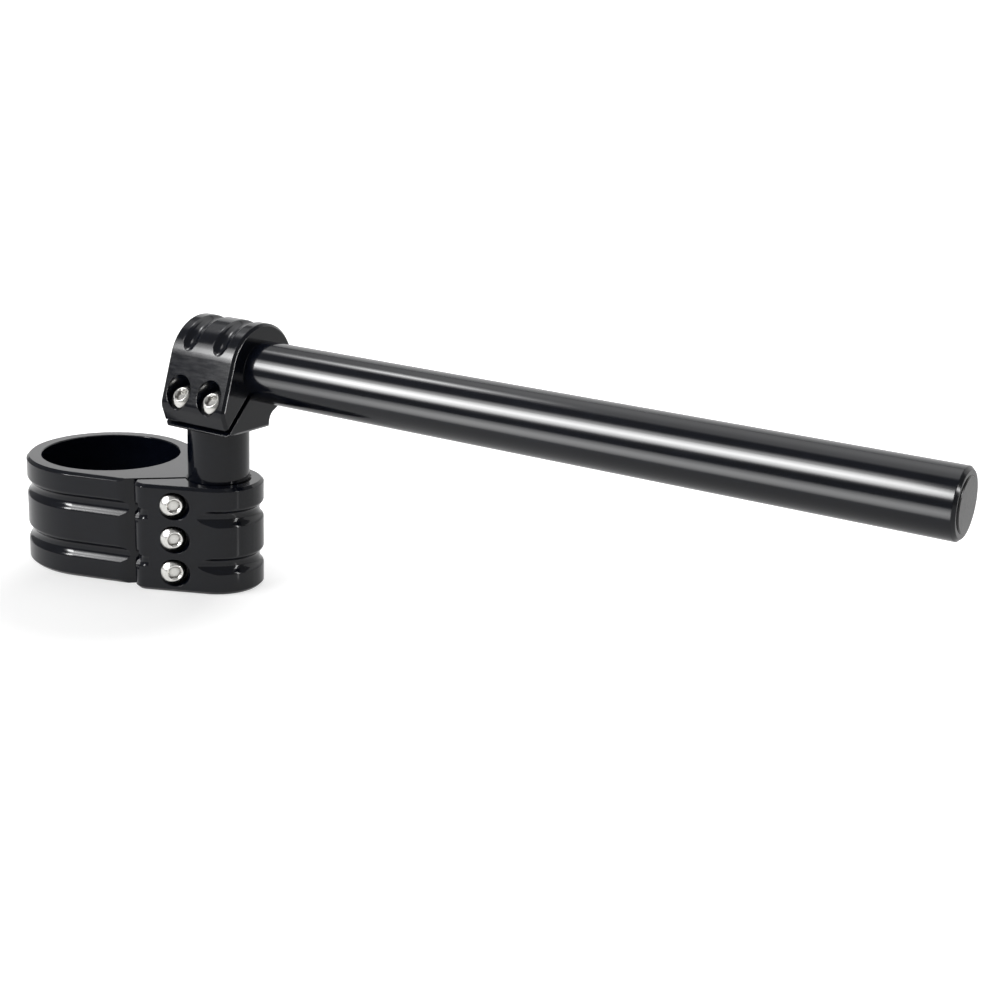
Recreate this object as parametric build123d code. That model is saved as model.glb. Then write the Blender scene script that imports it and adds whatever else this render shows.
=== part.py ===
from build123d import *
from math import acos, asin, cos, degrees, radians, sin, sqrt, tan
import os

# Clip on handlebar, in millimetres
# Origin on the fork leg's axis at the fork clamp's underside, +X out along the bar, +Z up

# Fork clamp block
fork_diameter = 52.0
ring_wall = 5.6
post_wall = 5.2
fork_to_post = 54.4
clamp_height = 40.4
clamp_chamfer = 1.1
fork_bore_break = 0.3
post_bore_break = 0.8

# Pinch slit and jaw of the fork clamp, angles in plan from +X
slit_angle = 225.0
slit_width = 1.8
mouth_radius = 6.0
jaw_angle = -65.5
jaw_length = 23.1
jaw_end_radius = 5.0

# Jaw screws
jaw_screw_angle = -38.0
jaw_screw_offset = 18.1
jaw_screw_spacing = 12.7
jaw_screw_length = 20.0
jaw_pocket_diameter = 10.3
jaw_pocket_margin = 0.1

# Grooves on both clamps, with a round bottom and soft lips
groove_width = 7.0
groove_depth = 1.6
groove_lip_radius = 2.0
groove_lip_angle = 10.0
groove_headroom = 3.0
groove_spacing = 18.0
groove_lead_angle = -49.5
groove_lead_length = 14.0
scallop_shift = 1.05
scallop_shift_angle = -30.0
scallop_depth = 1.35
scallop_start = -150.0
scallop_sweep = 95.0

# Riser post and its bolt
post_diameter = 22.5
post_foot = 1.0
bolt_diameter = 8.0
bolt_length = 55.0
bolt_grip = 9.0
bolt_head_diameter = 13.0
bolt_head_height = 8.0
bolt_head_chamfer = 0.6
bolt_hex = 6.0
bolt_seat_diameter = 14.0
bolt_hole_diameter = 8.6
tap_end_space = 1.0

# Bar clamp, its section drawn about the bar's axis
bar_offset = 7.5
bar_height = 81.2
bar_clamp_length = 30.0
bar_clamp_radius = 17.3
bar_clamp_chamfer = 1.0
neck_width = 23.2
neck_height = 3.9
neck_fillet = 4.2
front_lean = 18.0
front_length = 18.9
lip_corner_radius = 5.0
bar_slit_angle = 225.0
bar_slit_width = 2.0
bar_groove_spacing = 14.0
bar_groove_front_angle = 143.5
bar_groove_back_angle = -26.5
run_out_radius = 6.0
run_out_sweep = 60.0

# Bar clamp screws
bar_screw_spacing = 14.2
bar_screw_reach = 19.7
bar_screw_seat = 5.05
bar_screw_length = 10.0
bar_pocket_diameter = 11.0

# Handlebar tube and end plug
bar_diameter = 22.2
bar_wall = 2.6
bar_reach = 271.5
bar_end_chamfer = 1.0
bar_seat_diameter = 21.6
plug_length = 12.0
plug_proud = 0.4
plug_chamfer = 0.3

# Screws of both clamps
screw_diameter = 5.0
screw_hole_diameter = 5.6
screw_tip_chamfer = 0.6
button_diameter = 9.5
button_height = 2.75
button_rim = 0.35
button_flat = 5.9
button_hex = 4.0
hex_mouth = 0.25

# Clearance between pieces that fit in each other
fit_clearance = 0.05

# Sizes that follow from the ones above
fork_radius = fork_diameter / 2
ring_radius = fork_radius + ring_wall
post_radius = post_diameter / 2
end_radius = post_radius + post_wall
bar_radius = bar_diameter / 2
bar_seat_radius = bar_seat_diameter / 2
bar_clamp_drop = bar_clamp_radius + neck_height
post_top = bar_height - bar_clamp_drop
taper = 90 - degrees(acos((ring_radius - end_radius) / fork_to_post))
cut_reach = ring_radius + fork_to_post


# Point at a distance and plan angle from another point
def polar(distance, angle, start=(0, 0)):
    start = Vector(*start)
    return start + Vector(distance * cos(radians(angle)), distance * sin(radians(angle)))


post_axis = polar(fork_to_post, 0)


# Round rod standing on a plane, or hanging below it
def rod(plane, radius, length, hang=False):
    side = Align.MAX if hang else Align.MIN
    return plane * Cylinder(radius, length, align=(Align.CENTER, Align.CENTER, side))


# Plane whose Z axis points along a direction
def facing(origin, direction):
    return Plane(origin=origin, z_dir=direction)


# Section of a groove in a surface along X, with Y outwards: round bottom, lips, room above
def groove_section():
    lip_drop = groove_lip_radius * cos(radians(groove_lip_angle))
    lip_place = groove_width / 2 + groove_lip_radius * sin(radians(groove_lip_angle))
    rise = groove_depth + groove_lip_radius - lip_drop
    span = (rise**2 + lip_place**2) / (2 * rise)
    bottom_radius = span - groove_lip_radius
    turn = degrees(asin(lip_place / span))
    sweep_angle = turn - groove_lip_angle / 2
    left = CenterArc((-lip_place, -lip_drop), groove_lip_radius, 90 - turn, sweep_angle)
    right = CenterArc((lip_place, -lip_drop), groove_lip_radius, 90 + turn - sweep_angle, sweep_angle)
    bottom = CenterArc((0, bottom_radius - groove_depth), bottom_radius, -90 - turn, 2 * turn)
    rim = right @ 0
    room = Polyline(left @ 1, (-rim.X, groove_headroom), (rim.X, groove_headroom), rim)
    return make_face(left + bottom + right + room)


# Groove cutter along a smooth path on a surface that turns about a normal
def groove_cutter(path, normal):
    start = Plane(origin=path @ 0, x_dir=normal, z_dir=path % 0)
    return sweep(start * groove_section(), path)


# Block of the fork clamp's height with its rims chamfered
def chamfered_block(outline):
    block = extrude(outline, clamp_height)
    faces = block.faces().sort_by(Axis.Z)
    return chamfer(faces[0].edges() + faces[-1].edges(), clamp_chamfer)


# Plan sector in front of the slit, round to the line where the jaw leaves the post end
def front_sector():
    corners = [polar(cut_reach, angle, post_axis) for angle in (slit_angle - 360, jaw_angle)]
    middle = polar(cut_reach, (slit_angle - 360 + jaw_angle) / 2, post_axis)
    return Polygon(post_axis, corners[0], middle, corners[1], align=None)


# Strip of the pinch slit, from the post's axis out
def slit_strip():
    strip = Rectangle(cut_reach, slit_width, align=(Align.MIN, Align.CENTER))
    return Pos(post_axis) * Rot(0, 0, slit_angle) * strip


# Sharp corner of the ring's front face and the slit, taken off to leave a round mouth
def mouth_corner():
    face_point = polar(slit_width / 2, slit_angle - 90, post_axis)
    normal = polar(1, taper - 90)
    along = polar(1, slit_angle)
    corner = face_point + along * ((ring_radius - face_point.dot(normal)) / along.dot(normal))
    turn = slit_angle - 180 - taper
    run = mouth_radius * tan(radians(turn / 2))
    inner = polar(run, slit_angle - 180, corner)
    outer = polar(run, taper + 180, corner)
    centre = polar(mouth_radius, slit_angle - 90, inner)
    return Polygon(outer, corner, inner, align=None) - Pos(centre) * Circle(mouth_radius)


# Centre of the jaw's rounded end
def jaw_end():
    return polar(jaw_length, jaw_angle - 90, polar(end_radius - jaw_end_radius, jaw_angle, post_axis))


# Groove round the post end, the back, the ring and the front up to the slit's mouth
def ring_groove(height):
    lead = polar(end_radius, groove_lead_angle, post_axis)
    front = polar(ring_radius, taper - 90)
    run = fork_to_post * cos(radians(taper)) - jaw_length
    path = Line(polar(groove_lead_length, groove_lead_angle - 90, lead), lead)
    path += CenterArc(post_axis, end_radius, groove_lead_angle, 90 - taper - groove_lead_angle)
    path += Line(polar(end_radius, 90 - taper, post_axis), polar(ring_radius, 90 - taper))
    path += CenterArc((0, 0), ring_radius, 90 - taper, 180 + 2 * taper)
    path += Line(front, polar(run, taper, front))
    return groove_cutter(Pos(0, 0, height) * path, (0, 0, 1))


# Groove that runs off round the jaw's end
def jaw_groove(height):
    centre = polar(scallop_shift, scallop_shift_angle, jaw_end())
    track = jaw_end_radius + groove_depth - scallop_depth
    path = CenterArc(centre, track, scallop_start, scallop_sweep)
    return groove_cutter(Pos(0, 0, height) * path, (0, 0, 1))


def groove_heights():
    return [clamp_height / 2 + side * groove_spacing / 2 for side in (-1, 1)]


# Seat planes of the jaw screws, lowest first, with Z out along the screw
def jaw_seats():
    base = polar(jaw_screw_offset, jaw_screw_angle - 90, post_axis)
    lean = jaw_screw_angle - jaw_angle
    to_face = (end_radius - jaw_screw_offset * sin(radians(lean))) / cos(radians(lean))
    sink = button_diameter / 2 * tan(radians(lean)) + jaw_pocket_margin
    foot = polar(to_face - sink, jaw_screw_angle, base)
    heights = [clamp_height / 2 + step * jaw_screw_spacing for step in (-1, 0, 1)]
    return [facing(foot + Vector(0, 0, height), polar(1, jaw_screw_angle)) for height in heights]


# Depth of the slit's middle below a jaw screw's seat
def jaw_thickness(seat):
    normal = polar(1, slit_angle + 90)
    return (seat.origin - post_axis).dot(normal) / seat.z_dir.dot(normal)


# Pocket, clearance hole and tapped hole of one clamp screw
def screw_cut(seat, pocket_diameter, jaw_depth, length):
    cut = rod(seat, pocket_diameter / 2, cut_reach)
    cut += rod(seat, screw_hole_diameter / 2, jaw_depth, hang=True)
    return cut + rod(seat, screw_diameter / 2 + fit_clearance, length + tap_end_space, hang=True)


# Cone that breaks the rim of an upright bore
def rim_break(radius, size, height, upward):
    low, high = (radius, radius + size) if upward else (radius + size, radius)
    side = Align.MAX if upward else Align.MIN
    cone = Cone(low, high, size, align=(Align.CENTER, Align.CENTER, side))
    return Pos(0, 0, height) * cone


def fork_clamp():
    pear = make_hull((Circle(ring_radius) + Pos(post_axis) * Circle(end_radius)).edges())
    jaw = make_hull((Pos(post_axis) * Circle(end_radius) + Pos(jaw_end()) * Circle(jaw_end_radius)).edges())
    front = extrude(front_sector(), clamp_height)
    jaw_part = chamfered_block(jaw) & front
    for height in groove_heights():
        jaw_part -= jaw_groove(height)
    body = chamfered_block(pear) - front + jaw_part
    body -= extrude(slit_strip() + mouth_corner(), clamp_height)
    for height in groove_heights():
        body -= ring_groove(height)
    body -= rod(Plane.XY, fork_radius, clamp_height)
    body -= Pos(post_axis) * rod(Plane.XY, post_radius + fit_clearance, clamp_height)
    for upward, height in ((False, 0), (True, clamp_height)):
        body -= rim_break(fork_radius, fork_bore_break, height, upward)
        body -= Pos(post_axis) * rim_break(post_radius + fit_clearance, post_bore_break, height, upward)
    for seat in jaw_seats():
        body -= screw_cut(seat, jaw_pocket_diameter, jaw_thickness(seat), jaw_screw_length)
    return body


# Screw from the half section of its head, with a hex socket and a chamfered tip
def socket_screw(head, height, hex_size, shank_radius, length):
    screw = revolve(head, Axis.Z)
    shank = rod(Plane.XY, shank_radius, length, hang=True)
    screw += chamfer(shank.faces().sort_by(Axis.Z)[0].edges(), screw_tip_chamfer)
    corner = hex_size / sqrt(3)
    top = Plane.XY.offset(height)
    screw -= extrude(top * RegularPolygon(corner, 6), -height / 2)
    return screw - Pos(0, 0, height) * Cone(
        corner - hex_mouth, corner + hex_mouth, hex_mouth * 2, align=(Align.CENTER, Align.CENTER, Align.MAX)
    )


def button_screw(length):
    radius, flat = button_diameter / 2, button_flat / 2
    centre = (flat**2 + button_height**2 - radius**2 - button_rim**2) / (2 * (button_height - button_rim))
    dome = sqrt(radius**2 + (button_rim - centre) ** 2)
    halfway = (radius + flat) / 2
    crown = (halfway, centre + sqrt(dome**2 - halfway**2))
    section = Polyline((flat, button_height), (0, button_height), (0, 0), (radius, 0), (radius, button_rim))
    section += ThreePointArc((radius, button_rim), crown, (flat, button_height))
    face = make_face(Plane.XZ * section)
    return socket_screw(face, button_height, button_hex, screw_diameter / 2, length)


def riser_post():
    post = Pos(0, 0, post_foot) * rod(Plane.XY, post_radius, post_top - post_foot)
    seat = post_top + bolt_grip - bolt_length
    post -= rod(Plane.XY, bolt_seat_diameter / 2, seat)
    post -= rod(Plane.XY, bolt_hole_diameter / 2, post_top)
    return Pos(post_axis) * post


# Bolt with its head down, in the post's foot
def riser_bolt():
    radius, top = bolt_head_diameter / 2, bolt_head_height
    shoulder = [(radius, top - bolt_head_chamfer), (radius - bolt_head_chamfer, top)]
    section = Polyline((0, 0), (radius, 0), *shoulder, (0, top), close=True)
    bolt = socket_screw(make_face(Plane.XZ * section), top, bolt_hex, bolt_diameter / 2, bolt_length)
    seat = post_top + bolt_grip - bolt_length
    return Pos(post_axis) * Pos(0, 0, seat) * Rot(180, 0, 0) * bolt


# Section plane of the bar clamp at a distance along the bar from the post
def bar_section(distance):
    return Plane(origin=(fork_to_post + distance, bar_offset, bar_height), x_dir=(0, 1, 0), z_dir=(1, 0, 0))


# Outline of the bar clamp's section: round top, leaning front, lip down to the flat foot, neck
def bar_clamp_outline():
    neck_back = neck_width / 2 - bar_offset
    neck_front = neck_back - neck_width
    back_angle = -degrees(acos(neck_back / bar_clamp_radius))
    front_angle = 180 - front_lean
    shoulder = polar(front_length, front_angle + 90, polar(bar_clamp_radius, front_angle))
    back = polar(bar_clamp_radius, back_angle)
    outline = CenterArc((0, 0), bar_clamp_radius, back_angle, front_angle - back_angle)
    outline += Polyline(
        polar(bar_clamp_radius, front_angle),
        shoulder,
        (neck_front, -bar_clamp_drop),
        (neck_back, -bar_clamp_drop),
        back,
    )
    face = make_face(outline)
    for corner, radius in ((back, neck_fillet), (shoulder, lip_corner_radius)):
        face = fillet(face.vertices().sort_by_distance(corner)[0], radius)
    return face


# Arc that leaves the bar clamp's round top outwards, before its start or after its end
def run_out(angle, lead_in):
    centre = polar(bar_clamp_radius + run_out_radius, angle)
    first = angle + 180 + (run_out_sweep if lead_in else 0)
    return CenterArc(centre, run_out_radius, first, -run_out_sweep)


# Groove over the clamp's round top, running out at the front and at the back
def bar_groove(distance):
    turn = bar_groove_front_angle - bar_groove_back_angle
    path = run_out(bar_groove_back_angle, True)
    path += CenterArc((0, 0), bar_clamp_radius, bar_groove_back_angle, turn)
    path += run_out(bar_groove_front_angle, False)
    return groove_cutter(bar_section(distance) * path, (1, 0, 0))


# Seat planes of the bar clamp screws, the one nearer the fork first
def bar_seats():
    across = bar_slit_angle - 90
    foot = polar(bar_screw_reach, bar_slit_angle) + polar(bar_screw_seat, across)
    direction = (0, cos(radians(across)), sin(radians(across)))
    planes = [bar_section(side * bar_screw_spacing / 2) for side in (-1, 1)]
    return [facing(plane.from_local_coords(foot), direction) for plane in planes]


def bar_clamp():
    half = bar_clamp_length / 2
    block = extrude(bar_section(-half) * bar_clamp_outline(), bar_clamp_length)
    ends = block.faces().sort_by(Axis.X)
    block = chamfer(ends[0].edges() + ends[-1].edges(), bar_clamp_chamfer)
    for side in (-1, 1):
        block -= bar_groove(side * bar_groove_spacing / 2)
    strip = Rot(0, 0, bar_slit_angle) * Rectangle(cut_reach, bar_slit_width, align=(Align.MIN, Align.CENTER))
    block -= extrude(bar_section(-half) * strip, bar_clamp_length)
    block -= rod(bar_section(-half), bar_seat_radius + fit_clearance, bar_clamp_length)
    for seat in bar_seats():
        block -= screw_cut(seat, bar_pocket_diameter, bar_screw_seat, bar_screw_length)
    tapped = Plane(origin=post_axis + Vector(0, 0, post_top))
    return block - rod(tapped, bolt_diameter / 2 + fit_clearance, bolt_grip + tap_end_space)


# Tube with a turned down seat for the clamp and a shoulder against its face
def handlebar_tube():
    half = bar_clamp_length / 2
    tube = rod(bar_section(half), bar_radius, bar_reach - half)
    tube = chamfer(tube.faces().sort_by(Axis.X)[-1].edges(), bar_end_chamfer)
    tube += rod(bar_section(-half), bar_seat_radius, bar_clamp_length)
    return tube - rod(bar_section(-half), bar_radius - bar_wall, bar_reach + half)


def bar_end_plug():
    start = bar_section(bar_reach - plug_length)
    plug = rod(start, bar_radius - bar_wall - fit_clearance, plug_length + plug_proud)
    return chamfer(plug.faces().sort_by(Axis.X)[-1].edges(), plug_chamfer)


def main():
    parts = {
        "fork_clamp": fork_clamp(),
        "riser_post": riser_post(),
        "riser_bolt": riser_bolt(),
        "bar_clamp": bar_clamp(),
        "handlebar_tube": handlebar_tube(),
        "bar_end_plug": bar_end_plug(),
    }
    for place, seat in zip(("lower", "middle", "upper"), jaw_seats()):
        parts[f"fork_clamp_screw_{place}"] = seat * button_screw(jaw_screw_length)
    for place, seat in zip(("inner", "outer"), bar_seats()):
        parts[f"bar_clamp_screw_{place}"] = seat * button_screw(bar_screw_length)
    os.makedirs("parts", exist_ok=True)
    for node, solid in parts.items():
        export_step(solid, f"parts/{node}.step")


main()
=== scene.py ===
import math

import bmesh
import bpy
from mathutils import Euler, Matrix, Vector

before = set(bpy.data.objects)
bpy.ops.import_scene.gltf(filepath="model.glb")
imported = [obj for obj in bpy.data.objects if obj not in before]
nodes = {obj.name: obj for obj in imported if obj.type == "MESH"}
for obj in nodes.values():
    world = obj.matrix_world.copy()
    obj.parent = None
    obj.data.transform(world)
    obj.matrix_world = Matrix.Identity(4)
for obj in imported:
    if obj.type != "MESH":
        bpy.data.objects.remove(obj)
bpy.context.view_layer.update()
print("frame loaded with", len(nodes), "nodes")

white = (1.0, 1.0, 1.0, 1.0)
noiseRange = (0.3, 0.7)  # where most of a noise lies
mixA, mixB, mixOut = 6, 7, 2  # colour sockets of a Mix node


# small helpers for node trees
def addNode(tree, kind, **settings):
    node = tree.nodes.new(kind)
    for key, value in settings.items():
        setattr(node, key, value)
    return node


def newMaterial(name):
    material = bpy.data.materials.new(name)
    material.use_nodes = True
    tree = material.node_tree
    return material, tree, tree.nodes["Principled BSDF"]


def wireUp(tree, shader, links):
    for socket, output in links.items():
        tree.links.new(output, shader.inputs[socket])


# noise on Object coordinates, stretched by a scale per axis
def grain(tree, scale, detail=3.0):
    coords = addNode(tree, "ShaderNodeTexCoord")
    mapping = addNode(tree, "ShaderNodeMapping")
    mapping.inputs["Scale"].default_value = scale
    noise = addNode(tree, "ShaderNodeTexNoise")
    noise.inputs["Scale"].default_value = 1.0
    noise.inputs["Detail"].default_value = detail
    tree.links.new(coords.outputs["Object"], mapping.inputs["Vector"])
    tree.links.new(mapping.outputs["Vector"], noise.inputs["Vector"])
    return noise.outputs["Fac"]


# value that follows another, from one range to another
def ramped(tree, source, start, end):
    ranged = addNode(tree, "ShaderNodeMapRange")
    ranged.inputs["From Min"].default_value, ranged.inputs["From Max"].default_value = start
    ranged.inputs["To Min"].default_value, ranged.inputs["To Max"].default_value = end
    tree.links.new(source, ranged.inputs["Value"])
    return ranged.outputs["Result"]


def blend(tree, factor, dark, light):
    ramp = addNode(tree, "ShaderNodeValToRGB")
    for point, place, colour in zip(ramp.color_ramp.elements, noiseRange, (dark, light)):
        point.position = place
        point.color = (*colour, 1.0)
    tree.links.new(factor, ramp.inputs["Fac"])
    return ramp.outputs["Color"]


# tool marks as a faint bump on softly rounded edges
def surfaceNormal(tree, marks, height, edgeRadius):
    edge = addNode(tree, "ShaderNodeBevel", samples=6)
    edge.inputs["Radius"].default_value = edgeRadius
    bump = addNode(tree, "ShaderNodeBump")
    bump.inputs["Strength"].default_value = 1.0
    bump.inputs["Distance"].default_value = height
    tree.links.new(marks, bump.inputs["Height"])
    tree.links.new(edge.outputs["Normal"], bump.inputs["Normal"])
    return bump.outputs["Normal"]


# black anodised aluminium: a deep black dye under a clear, glossy oxide skin
# marks lie level on a milled or turned piece and run along a drawn one
blackLook = {
    "dark": (0.0016, 0.0023, 0.0052),
    "light": (0.003, 0.0042, 0.0084),
    "rough": (0.1, 0.15),
    "ior": 1.42,
    "cloudScale": (160.0, 160.0, 160.0),
    "markScale": {
        "milledBlack": (250.0, 250.0, 1400.0),
        "turnedBlack": (150.0, 150.0, 1800.0),
        "drawnBlack": (40.0, 1500.0, 1500.0),
    },
    "markHeight": 0.0000015,
    "edgeRadius": 0.0004,
}


def anodisedBlack(name):
    material, tree, shader = newMaterial(name)
    cloud = grain(tree, blackLook["cloudScale"])
    marks = grain(tree, blackLook["markScale"][name])
    shader.inputs["IOR"].default_value = blackLook["ior"]
    wireUp(tree, shader, {
        "Base Color": blend(tree, cloud, blackLook["dark"], blackLook["light"]),
        "Roughness": ramped(tree, marks, noiseRange, blackLook["rough"]),
        "Normal": surfaceNormal(tree, marks, blackLook["markHeight"], blackLook["edgeRadius"]),
    })
    return material


# stainless screws, bright with a soft satin haze
steelLook = {
    "dark": (0.78, 0.77, 0.74),
    "light": (0.92, 0.91, 0.88),
    # dark colour painted into recesses as shade, how far the occlusion looks and how open a place must
    # be to keep the metal's colour
    "socket": (0.3, 0.29, 0.27),
    "socketReach": 0.0025,
    "socketOpen": (0.35, 0.9),
    "rough": (0.2, 0.28),
    "grainScale": (1500.0, 1500.0, 1500.0),
    "grainHeight": 0.000004,
    "edgeRadius": 0.00015,
}


# painted shade: recesses such as a socket are coloured darker from ambient occlusion, standing in for
# the shade that falls there
def paintSocketShade(tree, metal):
    openness = addNode(tree, "ShaderNodeAmbientOcclusion", samples=8)
    openness.inputs["Distance"].default_value = steelLook["socketReach"]
    tone = addNode(tree, "ShaderNodeMix", data_type="RGBA")
    share = ramped(tree, openness.outputs["AO"], steelLook["socketOpen"], (0.0, 1.0))
    tree.links.new(share, tone.inputs["Factor"])
    tone.inputs[mixA].default_value = (*steelLook["socket"], 1.0)
    tree.links.new(metal, tone.inputs[mixB])
    return tone.outputs[mixOut]


def stainless(name):
    material, tree, shader = newMaterial(name)
    marks = grain(tree, steelLook["grainScale"])
    shader.inputs["Metallic"].default_value = 1.0
    wireUp(tree, shader, {
        "Base Color": paintSocketShade(tree, blend(tree, marks, steelLook["dark"], steelLook["light"])),
        "Roughness": ramped(tree, marks, noiseRange, steelLook["rough"]),
        "Normal": surfaceNormal(tree, marks, steelLook["grainHeight"], steelLook["edgeRadius"]),
    })
    return material


# moulded plug, satin black
plugLook = {
    "dark": (0.012, 0.012, 0.012),
    "light": (0.02, 0.02, 0.021),
    "rough": (0.2, 0.26),
    "ior": 1.5,
    "grainScale": (900.0, 900.0, 900.0),
    "grainHeight": 0.0000015,
    "edgeRadius": 0.0002,
}


def mouldedPlug(name):
    material, tree, shader = newMaterial(name)
    marks = grain(tree, plugLook["grainScale"])
    shader.inputs["IOR"].default_value = plugLook["ior"]
    wireUp(tree, shader, {
        "Base Color": blend(tree, marks, plugLook["dark"], plugLook["light"]),
        "Roughness": ramped(tree, marks, noiseRange, plugLook["rough"]),
        "Normal": surfaceNormal(tree, marks, plugLook["grainHeight"], plugLook["edgeRadius"]),
    })
    return material


# how each finish is made, and the nodes that wear it
finishes = {
    "milledBlack": (anodisedBlack, ["fork_clamp", "bar_clamp"]),
    "turnedBlack": (anodisedBlack, ["riser_post"]),
    "drawnBlack": (anodisedBlack, ["handlebar_tube"]),
    "plugBlack": (mouldedPlug, ["bar_end_plug"]),
    "stainless": (stainless, [name for name in nodes if "screw" in name or "bolt" in name]),
}
for finish, (make, wearers) in finishes.items():
    material = make(finish)
    for name in wearers:
        mesh = nodes[name].data
        mesh.materials.clear()
        mesh.materials.append(material)
print("finishes set:", ", ".join(finishes))


# floor that sweeps up into a backdrop; it glows white to the lens, less at the clamp's foot
# so that the shadow shows there, and paler with height in reflections
floorLook = {
    "near": -0.75,
    "back": 1.6,
    "halfWidth": 4.0,
    "wallHeight": 1.5,
    "sweepRadius": 0.5,
    "sweepSteps": 24,
    "colour": 0.5,
    "rough": 0.9,
    "rise": (0.1, 0.5),
    "mirrorGlow": (0.44, 0.9),
    "clampFoot": (0.035, -0.04, 0.0),
    "away": (0.035, 0.095),
    "cameraGlow": (0.5, 1.0),
}


def makeFloor():
    bm = bmesh.new()
    side, near, back = floorLook["halfWidth"], floorLook["near"], floorLook["back"]
    corners = [(-side, near, 0), (side, near, 0), (side, back, 0), (-side, back, 0)]
    sheet = bm.faces.new([bm.verts.new(corner) for corner in corners])
    backEdge = max(sheet.edges, key=lambda e: min(v.co.y for v in e.verts))
    risen = bmesh.ops.extrude_edge_only(bm, edges=[backEdge])
    riser = [v for v in risen["geom"] if isinstance(v, bmesh.types.BMVert)]
    bmesh.ops.translate(bm, verts=riser, vec=(0, 0, floorLook["wallHeight"]))
    radius, steps = floorLook["sweepRadius"], floorLook["sweepSteps"]
    bmesh.ops.bevel(
        bm, geom=[backEdge], offset=radius, segments=steps, profile=0.5, affect="EDGES", material=-1
    )
    bmesh.ops.recalc_face_normals(bm, faces=bm.faces)
    mesh = bpy.data.meshes.new("floor")
    bm.to_mesh(mesh)
    bm.free()
    mesh.polygons.foreach_set("use_smooth", [True] * len(mesh.polygons))
    floor = bpy.data.objects.new("floor", mesh)
    bpy.context.scene.collection.objects.link(floor)
    return floor


def floorMaterial():
    material, tree, shader = newMaterial("paleFloor")
    shader.inputs["Base Color"].default_value = (*[floorLook["colour"]] * 3, 1.0)
    shader.inputs["Roughness"].default_value = floorLook["rough"]
    shader.inputs["Specular IOR Level"].default_value = 0.0
    shader.inputs["Emission Color"].default_value = white
    path = addNode(tree, "ShaderNodeLightPath")
    coords = addNode(tree, "ShaderNodeTexCoord")
    place = addNode(tree, "ShaderNodeSeparateXYZ")
    away = addNode(tree, "ShaderNodeVectorMath", operation="DISTANCE")
    away.inputs[1].default_value = floorLook["clampFoot"]
    tree.links.new(coords.outputs["Object"], place.inputs["Vector"])
    tree.links.new(coords.outputs["Object"], away.inputs[0])
    inMirror = ramped(tree, place.outputs["Z"], floorLook["rise"], floorLook["mirrorGlow"])
    toLens = ramped(tree, away.outputs["Value"], floorLook["away"], floorLook["cameraGlow"])
    mirror = addNode(tree, "ShaderNodeMath", operation="MULTIPLY")
    direct = addNode(tree, "ShaderNodeMath", operation="MULTIPLY_ADD")
    tree.links.new(path.outputs["Is Glossy Ray"], mirror.inputs[0])
    tree.links.new(inMirror, mirror.inputs[1])
    tree.links.new(path.outputs["Is Camera Ray"], direct.inputs[0])
    tree.links.new(toLens, direct.inputs[1])
    tree.links.new(mirror.outputs["Value"], direct.inputs[2])
    tree.links.new(direct.outputs["Value"], shader.inputs["Emission Strength"])
    return material


floor = makeFloor()
floor.data.materials.append(floorMaterial())
print("floor and backdrop ready")


# soft boxes: place, what they face, size along and across, and how the glow falls off each way;
# part says if a box shows as shine (the usual), lights the colours or does both,
# and only or skip name the nodes that it lights or leaves out
evenGlow = ((0.0, 1.0), (1.0, 1.0))
dimEnds = ((0.0, 0.3), (0.2, 1.0), (0.8, 1.0), (1.0, 0.3))
softEdges = (
    (0.0, 0.0), (0.11, 0.03), (0.2, 0.3), (0.3, 0.62),
    (0.46, 1.0), (0.61, 0.66), (0.74, 0.24), (1.0, 0.0),
)
keyEnds = (
    (0.0, 0.1), (0.08, 0.4), (0.17, 0.85), (0.27, 0.95),
    (0.5, 0.82), (0.7, 0.84), (0.91, 0.9), (1.0, 0.7),
)
cardEdges = (
    (0.0, 0.15), (0.17, 0.42), (0.34, 0.8), (0.48, 1.0),
    (0.59, 0.97), (0.75, 0.62), (0.9, 0.25), (1.0, 0.0),
)
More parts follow.
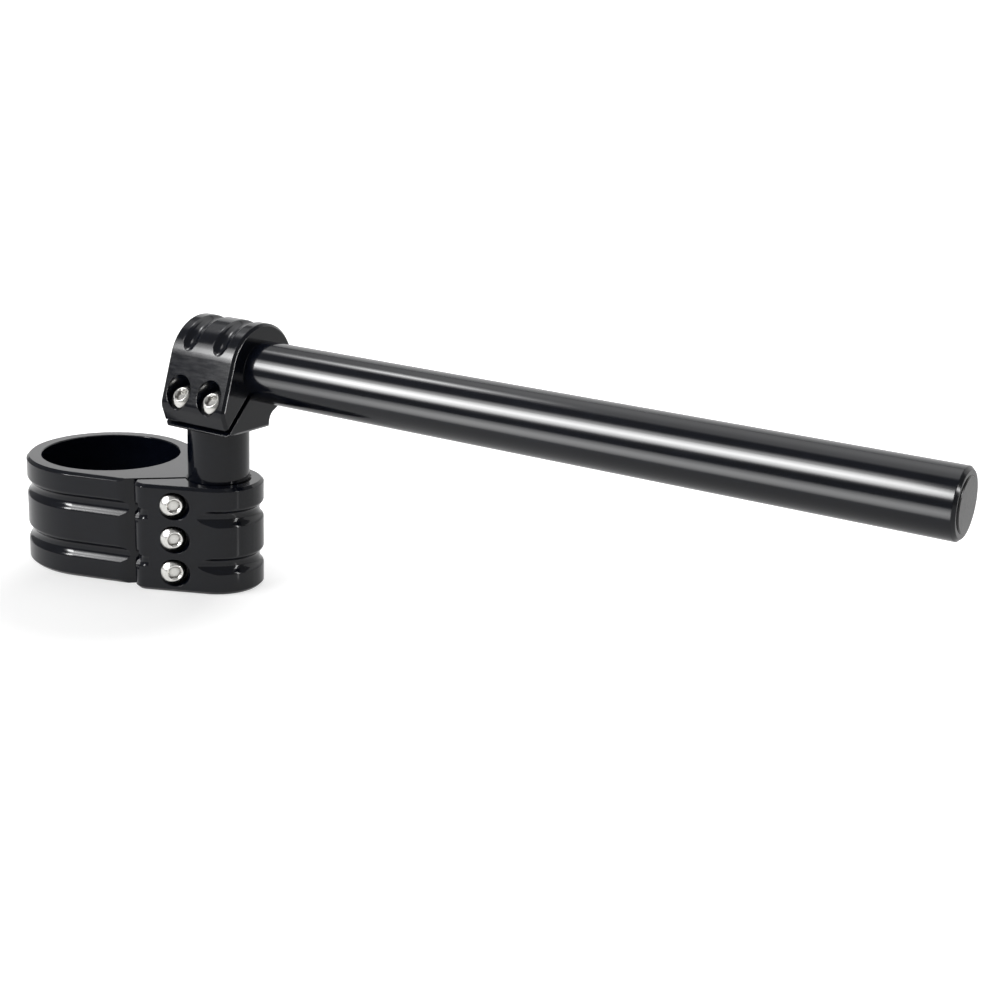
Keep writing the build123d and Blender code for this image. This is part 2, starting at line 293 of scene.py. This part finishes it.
softBoxes = {
    "plainFill": {
        "place": (-0.6, -1.1, 1.1),
        "aim": (0.1, 0.0, 0.05),
        "size": (1.2, 1.2),
        "glow": 4.5,
        "along": evenGlow,
        "across": evenGlow,
        "part": "colour",
    },
    "keyBox": {
        "place": (-1.55, -2.394, 1.881),
        "aim": (-1.55, -0.0295, 0.0342),
        "size": (2.3, 2.8),
        "roll": 10.0,
        "glow": 38.0,
        "along": keyEnds,
        "across": softEdges,
        "skip": ["fork_clamp"],
    },
    "clampKey": {
        "place": (-1.0, -2.357, 1.928),
        "aim": (-1.0, 0.0075, 0.0812),
        "size": (0.8, 2.8),
        "glow": 40.0,
        "along": ((0.0, 0.0), (0.1, 1.0), (0.48, 1.0), (0.62, 0.18), (0.9, 0.16), (1.0, 0.0)),
        "across": softEdges,
        "only": ["fork_clamp"],
    },
    "bounceCard": {
        "place": (0.135, -0.113, 0.0318),
        "aim": (0.135, -0.0036, 0.0806),
        "size": (0.33, 0.092),
        "glow": 6.6,
        "along": ((0.0, 0.65), (0.4, 1.0), (1.0, 1.0)),
        "across": cardEdges,
        "only": ["handlebar_tube"],
    },
    "hairLight": {
        "place": (-0.3, 0.087, 0.73),
        "aim": (-0.3, 0.087, 0.0),
        "size": (0.34, 0.26),
        "glow": 15.0,
        "along": ((0.0, 0.15), (0.2, 0.4), (0.3, 0.65), (0.48, 1.0), (0.6, 1.0), (0.8, 0.3), (1.0, 0.0)),
        "across": ((0.0, 0.0), (0.25, 0.3), (0.5, 1.0), (0.75, 0.3), (1.0, 0.0)),
    },
    "ceiling": {
        "place": (-0.15, 0.3, 0.74),
        "aim": (-0.15, 0.3, 0.0),
        "size": (0.9, 0.76),
        "glow": 2.0,
        "along": ((0.0, 0.3), (0.5, 0.7), (1.0, 1.0)),
        "across": ((0.0, 0.0), (0.15, 0.8), (0.5, 1.0), (1.0, 0.6)),
        "part": "both",
    },
    "edgeCard": {
        "place": (0.57, 0.035, 0.13),
        "aim": (0.069, -0.01, 0.09),
        "size": (0.5, 0.3),
        "glow": 25.0,
        "along": dimEnds,
        "across": dimEnds,
        "only": ["bar_clamp"],
    },
    "endStrip": {
        "place": (0.0855, -0.0068, 0.02),
        "aim": (0.0694, -0.0068, 0.02),
        "size": (0.0018, 0.04),
        "glow": 2.8,
        "along": ((0.0, 0.3), (0.5, 1.0), (1.0, 0.3)),
        "across": ((0.0, 1.0), (0.5, 0.5), (1.0, 0.25)),
        "only": ["fork_clamp"],
    },
    "sideStrip": {
        "place": (1.2, 0.0, 0.45),
        "aim": (0.07, -0.007, 0.03),
        "size": (0.12, 0.9),
        "glow": 26.0,
        "along": ((0.0, 0.2), (0.5, 1.0), (1.0, 0.2)),
        "across": ((0.0, 1.0), (0.7, 0.8), (1.0, 0.0)),
    },
}


# share of the glow at each place along one side of a box
def falloff(tree, source, stops):
    ramp = addNode(tree, "ShaderNodeValToRGB")
    ramp.color_ramp.interpolation = "EASE"
    points = ramp.color_ramp.elements
    while len(points) < len(stops):
        points.new(1.0)
    for point, (place, share) in zip(points, stops):
        point.position = place
        point.color = (share, share, share, 1.0)
    tree.links.new(source, ramp.inputs["Fac"])
    return ramp.outputs["Color"]


# turn of a panel whose back points along a direction, its top edge level
def facing(out):
    level = Vector((0, 0, 1)).cross(out)
    overhead = level.length < 0.001  # straight down, so any edge is level
    level = Vector((1, 0, 0)) if overhead else level.normalized()
    return Matrix((level, out.cross(level), out)).transposed().to_4x4()


# a box can light only some nodes, or all but some
def limitLight(lamp, names, state):
    if names:
        lit = bpy.data.collections.new(lamp.name)
        for name in names:
            lit.objects.link(nodes[name])
        for entry in lit.collection_objects:
            entry.light_linking.link_state = state
        lamp.light_linking.receiver_collection = lit


def addSoftBox(name, box):
    light = bpy.data.lights.new(name, "AREA")
    light.shape = "RECTANGLE"
    light.size, light.size_y = box["size"]
    light.energy = box["glow"] * math.pi * light.size * light.size_y  # panel brightness to watts
    light.use_nodes = True
    tree = light.node_tree
    surface = addNode(tree, "ShaderNodeNewGeometry")
    panel = addNode(tree, "ShaderNodeSeparateXYZ")
    shape = addNode(tree, "ShaderNodeMath", operation="MULTIPLY")
    tree.links.new(surface.outputs["Parametric"], panel.inputs["Vector"])
    tree.links.new(falloff(tree, panel.outputs["X"], box["along"]), shape.inputs[0])
    tree.links.new(falloff(tree, panel.outputs["Y"], box["across"]), shape.inputs[1])
    tree.links.new(shape.outputs["Value"], tree.nodes["Emission"].inputs["Strength"])
    out = (Vector(box["place"]) - Vector(box["aim"])).normalized()
    roll = Matrix.Rotation(math.radians(box.get("roll", 0.0)), 4, "Z")
    lamp = bpy.data.objects.new(name, light)
    lamp.matrix_world = Matrix.Translation(box["place"]) @ facing(out) @ roll
    part = box.get("part", "shine")
    lamp.visible_camera = False
    lamp.visible_diffuse = part != "shine"
    lamp.visible_glossy = part != "colour"
    bpy.context.scene.collection.objects.link(lamp)
    limitLight(lamp, box.get("only", []), "INCLUDE")
    limitLight(lamp, box.get("skip", []), "EXCLUDE")


for name, box in softBoxes.items():
    addSoftBox(name, box)
print("soft boxes:", ", ".join(softBoxes))


# studio beyond the backdrop: white to the lens, dim in reflections
studio = {"cameraWhite": 1.0, "room": 0.28}


def makeWorld():
    world = bpy.data.worlds.new("studio")
    world.use_nodes = True
    tree = world.node_tree
    backdrop = tree.nodes["Background"]
    backdrop.inputs["Color"].default_value = white
    path = addNode(tree, "ShaderNodeLightPath")
    levels = (studio["room"], studio["cameraWhite"])
    level = ramped(tree, path.outputs["Is Camera Ray"], (0.0, 1.0), levels)
    tree.links.new(level, backdrop.inputs["Strength"])
    bpy.context.scene.world = world


makeWorld()
bpy.context.scene.view_settings.view_transform = "Standard"


# camera at the photograph's place, turned in degrees
view = {
    "place": (0.4441, -0.4397, 0.2096),
    "turn": (73.295, -2.355, 32.067),
    "lens": 58.81,
    "sensor": 36.0,
    "nearClip": 0.01,
}


def makeCamera():
    data = bpy.data.cameras.new("camera")
    data.lens = view["lens"]
    data.sensor_width = view["sensor"]
    data.clip_start = view["nearClip"]
    camera = bpy.data.objects.new("camera", data)
    camera.location = view["place"]
    camera.rotation_euler = Euler([math.radians(a) for a in view["turn"]], "XYZ")
    bpy.context.scene.collection.objects.link(camera)
    bpy.context.scene.camera = camera


makeCamera()
print("camera set")
